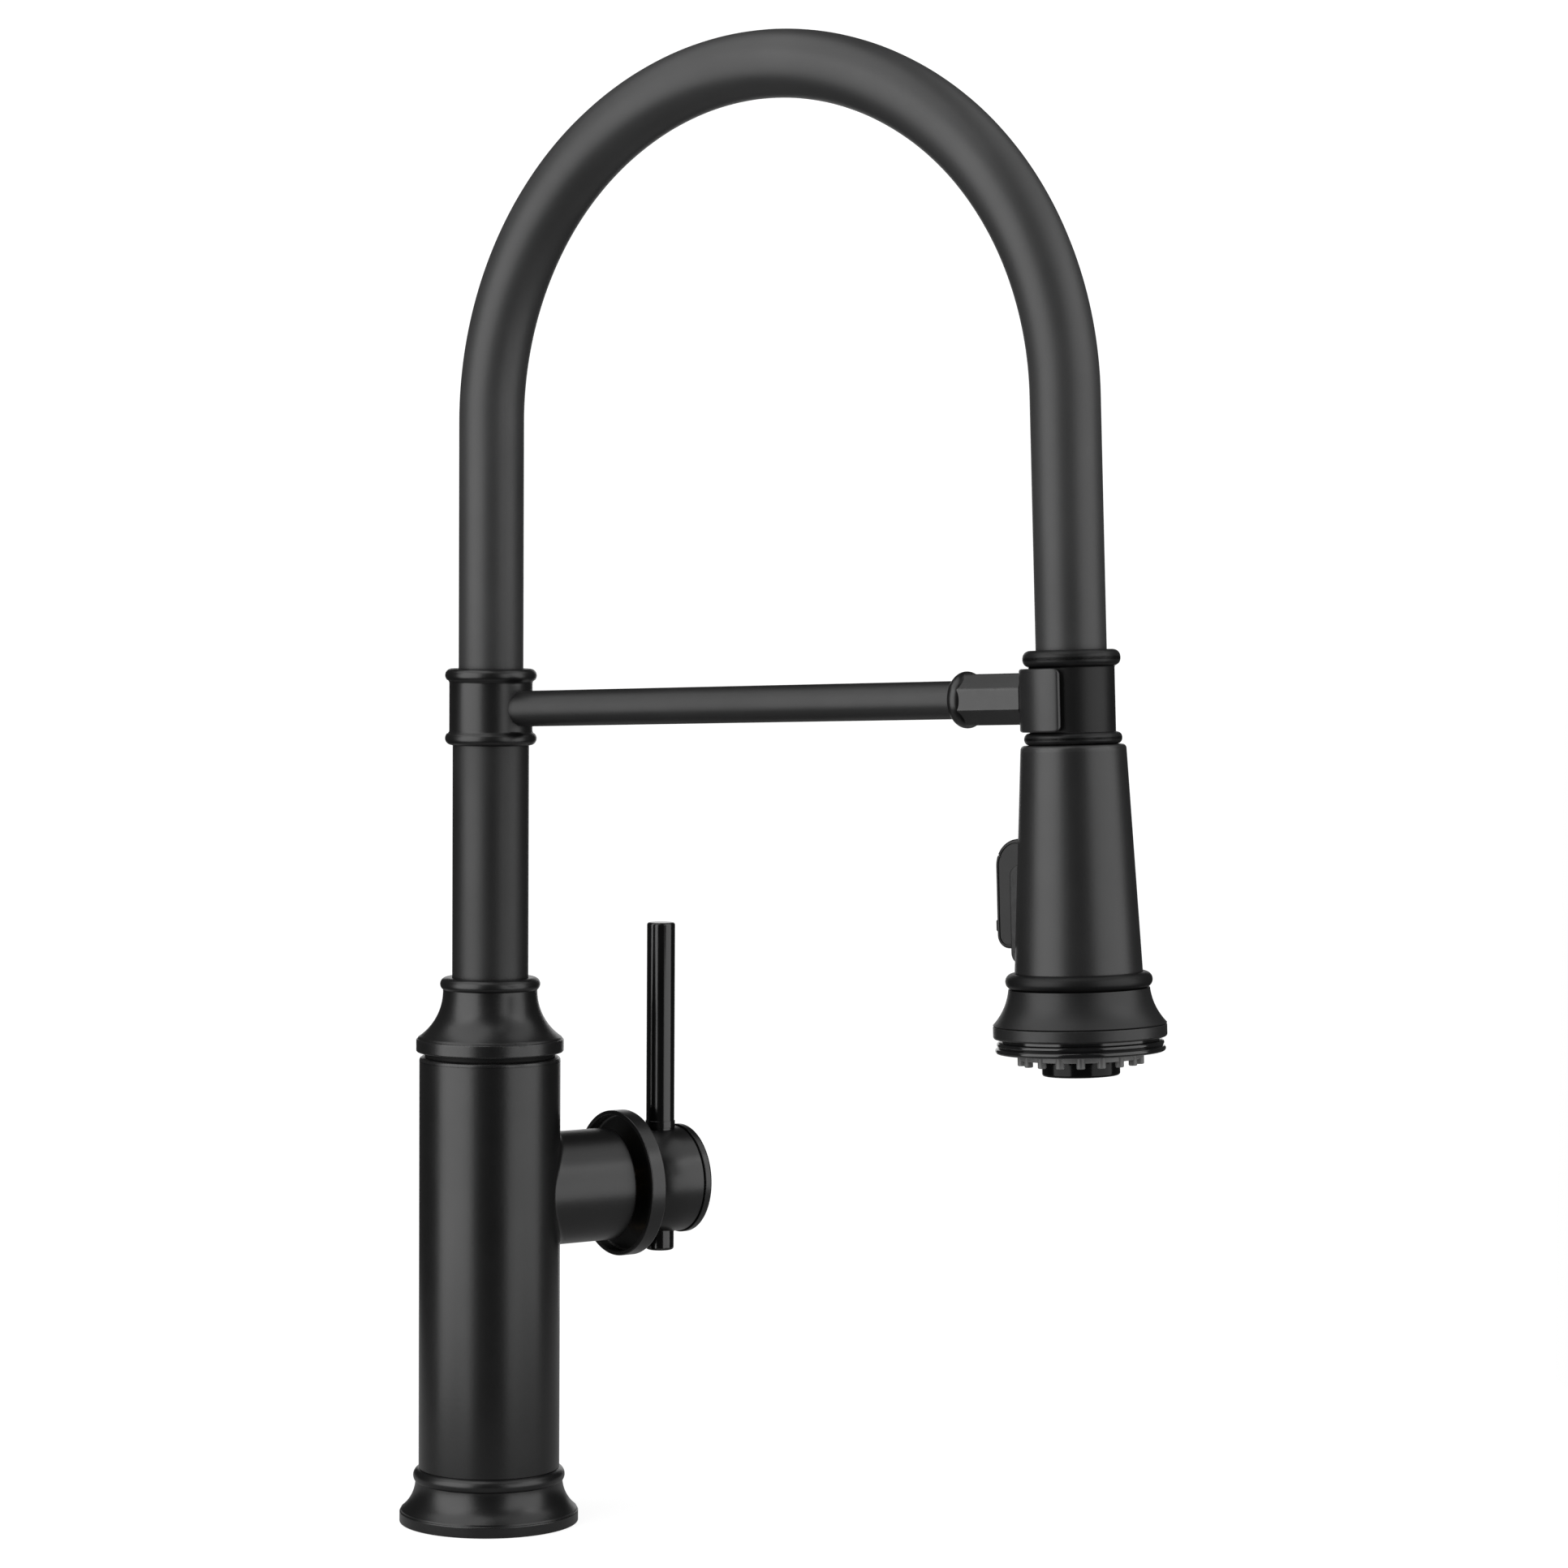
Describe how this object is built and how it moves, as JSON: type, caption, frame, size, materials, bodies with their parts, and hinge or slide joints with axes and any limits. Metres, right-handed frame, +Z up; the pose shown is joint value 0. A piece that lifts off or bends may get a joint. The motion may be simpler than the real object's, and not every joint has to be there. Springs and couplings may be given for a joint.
{
  "type": "pre rinse faucet",
  "caption": "Matte black deck-mounted kitchen faucet with a side lever, a swivelling column, a sleeved hose arch and a pull-out pre-rinse spray docked in a clip on a thin arm",
  "frame": {"origin": "centre of the base on the deck, at the underside of the flange", "axes": "+Z up along the column, +X from the column towards the spray at rest"},
  "size_m": [0.3009, 0.1125, 0.5068],
  "materials": {
    "matte_black": "matte black powder coat",
    "clip_plastic": "matte black, fine grain",
    "spray_plastic": "matte black lacquer",
    "gloss_black": "polished",
    "nozzle_rubber": "soft matte grey",
    "sleeve_rubber": "satin rubber",
    "hose_rubber": "satin",
    "seal_rubber": "matte",
    "brass": "machined",
    "white_plastic": "moulded",
    "blue_plastic": "moulded",
    "aerator_plastic": "moulded",
    "ceramic": "lapped",
    "steel": "plain"
  },
  "bodies": {
    "base": {"base_flange": "matte_black", "base_seal": "seal_rubber", "mount_foot": "brass", "body_shell": "matte_black", "waterway": "brass", "swivel_nut": "brass", "glide_ring": "seal_rubber", "cartridge_body": "white_plastic", "cartridge_seals": "seal_rubber", "fixed_disc": "ceramic", "cartridge_nut": "brass"},
    "valve_carrier": {"moving_disc": "ceramic", "cartridge_carrier": "blue_plastic", "tilt_pin": "steel"},
    "lever": {"lever_stem": "brass", "lever_dish": "matte_black", "lever_hub": "matte_black", "hub_grub_screw": "steel", "lever_rod": "matte_black", "lever_end_cap": "matte_black"},
    "spout": {"swivel_spigot": "brass", "spigot_o_rings": "seal_rubber", "bell_collar": "matte_black", "collar_grub_screw": "steel", "riser_tube": "matte_black", "hose_nipple": "brass", "arm_ferrule": "matte_black", "docking_arm": "matte_black", "clip_holder": "matte_black", "clip_screw": "steel", "neck_clip": "clip_plastic", "arch_sleeve": "sleeve_rubber", "arch_spring": "steel", "water_hose": "hose_rubber"},
    "hose_end": {"neck_tube": "matte_black", "hose_end_fitting": "brass", "fitting_o_ring": "seal_rubber"},
    "spray": {"head_shell": "spray_plastic", "head_core": "white_plastic", "check_valve": "white_plastic", "head_bead_ring": "spray_plastic", "bell_skirt": "spray_plastic", "face_ring": "gloss_black", "spray_plate": "spray_plastic", "nozzle_mat": "nozzle_rubber", "plate_screws": "steel", "aerator_housing": "gloss_black", "aerator_insert": "aerator_plastic", "aerator_washer": "seal_rubber", "rocker_bezel": "spray_plastic", "rocker_pin": "steel"},
    "rocker": {"rocker": "spray_plastic"},
    "diverter": {"diverter_spool": "brass", "spool_o_rings": "seal_rubber"}
  },
  "joints": [
    {"name": "spout_swivel", "type": "hinge", "parent": "base", "child": "spout", "pos_m": [0, 0, 0.15], "axis": [0, 0, 1], "range_deg": [-120, 120]},
    {"name": "lever_temperature", "type": "hinge", "parent": "base", "child": "valve_carrier", "pos_m": [0, 0, 0.1141], "axis": [0.3256, 0.9455, 0], "range_deg": [-45, 45]},
    {"name": "lever_flow", "type": "hinge", "parent": "valve_carrier", "child": "lever", "pos_m": [0.01237, 0.03593, 0.1141], "axis": [-0.9455, 0.3256, 0], "range_deg": [0, 18]},
    {"name": "spray_release", "type": "slide", "parent": "spout", "child": "hose_end", "axis": [0.9993, 0, 0.0384], "range_m": [0, 0.06], "deforming": ["arch_sleeve", "arch_spring", "water_hose"]},
    {"name": "spray_turn", "type": "hinge", "parent": "hose_end", "child": "spray", "pos_m": [0.23852, 0, 0.29106], "axis": [-0.0384, 0, 0.9993], "continuous": true},
    {"name": "rocker_tilt", "type": "hinge", "parent": "spray", "child": "rocker", "pos_m": [0.22253, 0, 0.2282], "axis": [0, 1, 0], "range_deg": [-4, 4]},
    {"name": "diverter_slide", "type": "slide", "parent": "spray", "child": "diverter", "axis": [0.9993, 0, 0.0384], "range_m": [-0.00063, 0.00063]}
  ],
  "couplings": [
    {"joint": "rocker_tilt", "follows": "diverter_slide", "rad_per_m": -111.1}
  ]
}
